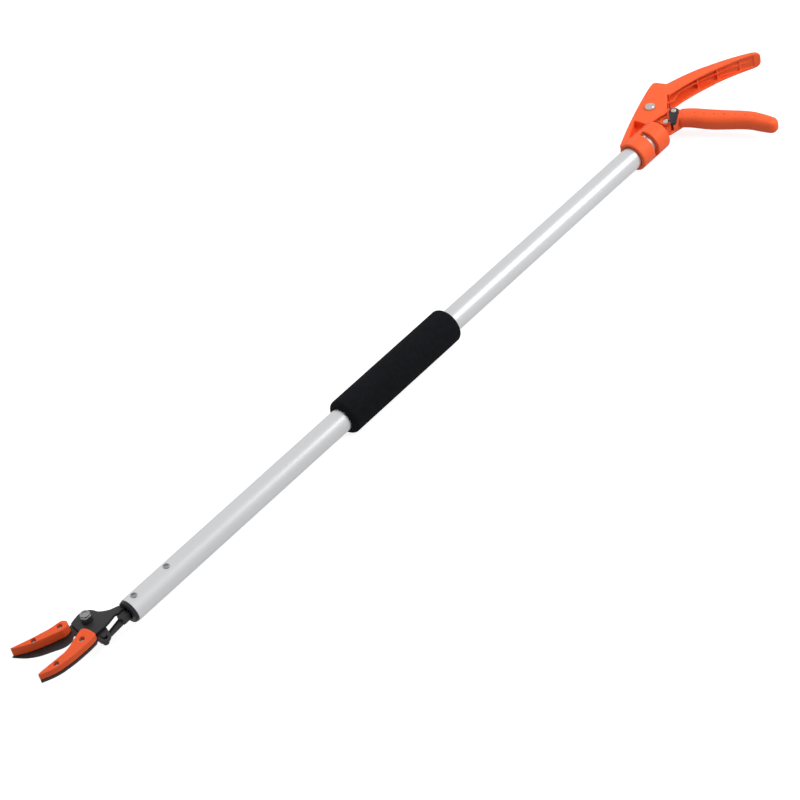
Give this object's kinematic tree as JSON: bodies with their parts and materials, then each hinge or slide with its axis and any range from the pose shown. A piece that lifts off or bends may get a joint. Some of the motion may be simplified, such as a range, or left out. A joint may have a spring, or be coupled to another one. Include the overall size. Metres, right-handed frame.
{
  "type": "long_reach_pruner",
  "caption": "Long-reach cut-and-hold pruner: curved blade and counter blade with orange pads on a silver pole, foam fore grip, and a turning orange handle with a trigger",
  "frame": {"origin": "on the pole axis at the middle of the foam fore grip", "axes": "+X along the pole from the blades to the handle, +Y away from the trigger, +Z square to the blades, on the side of the screws and of the thumb latch"},
  "size_m": [1.0954, 0.1639, 0.0374],
  "materials": {
    "tube": "satin",
    "foam": "matte closed-cell foam",
    "orange": "semi-gloss moulded",
    "black_plastic": "semi-gloss",
    "nylon": "matte",
    "blade_steel": "dark coated",
    "bright_steel": "zinc plated"
  },
  "bodies": {
    "pole": {"pole_tube": "tube", "foam_grip": "foam", "head_ferrule": "black_plastic", "ferrule_screws": "bright_steel", "counter_blade": "blade_steel", "counter_pad": "orange", "counter_pad_screws": "bright_steel", "pivot_bolt": "bright_steel", "pivot_washer": "bright_steel", "pivot_nut": "bright_steel", "guide_plug": "nylon", "stop_screw": "bright_steel", "return_spring": "bright_steel"},
    "blade": {"cutting_blade": "blade_steel", "cutting_pad": "orange", "cutting_pad_screws": "bright_steel"},
    "rod": {"pull_rod": "bright_steel", "rod_link": "blade_steel", "link_pin": "bright_steel", "spring_collar": "bright_steel", "rod_button": "bright_steel"},
    "handle": {"handle_body": "orange", "lever_bolt": "bright_steel", "lever_washer": "bright_steel", "lever_nut": "bright_steel"},
    "yoke": {"rod_yoke": "orange", "yoke_pin": "bright_steel"},
    "lever": {"trigger": "orange", "latch_rivet": "bright_steel"},
    "latch": {"thumb_latch": "black_plastic"}
  },
  "joints": [
    {"name": "handle_turn", "type": "hinge", "parent": "pole", "child": "handle", "pos_m": [0.4157, 0, 0], "axis": [-1, 0, 0], "range_deg": [0, 120]},
    {"name": "trigger_squeeze", "type": "hinge", "parent": "handle", "child": "lever", "pos_m": [0.464, 0.0275, 0], "axis": [0, 0, 1], "range_deg": [0, 33.97], "stiffness_Nm_per_rad": 0.9, "springref_deg": -34.38},
    {"name": "yoke_slide", "type": "slide", "parent": "handle", "child": "yoke", "axis": [1, 0, 0], "range_m": [0, 0.0168]},
    {"name": "rod_pull", "type": "slide", "parent": "pole", "child": "rod", "axis": [1, 0, 0], "range_m": [0, 0.0168], "deforming": ["return_spring"]},
    {"name": "blade_close", "type": "hinge", "parent": "pole", "child": "blade", "pos_m": [-0.412, 0.024, 0], "axis": [0, 0, 1], "range_deg": [0, 34.84]},
    {"name": "latch_turn", "type": "hinge", "parent": "lever", "child": "latch", "pos_m": [0.4675, -0.0024, 0.0127], "axis": [0, 0, 1], "range_deg": [-65, 0]}
  ],
  "couplings": [
    {"joint": "yoke_slide", "follows": "trigger_squeeze", "m_per_rad": 0.028335},
    {"joint": "rod_pull", "follows": "trigger_squeeze", "m_per_rad": 0.028335},
    {"joint": "blade_close", "follows": "trigger_squeeze", "ratio": 1.0255}
  ]
}
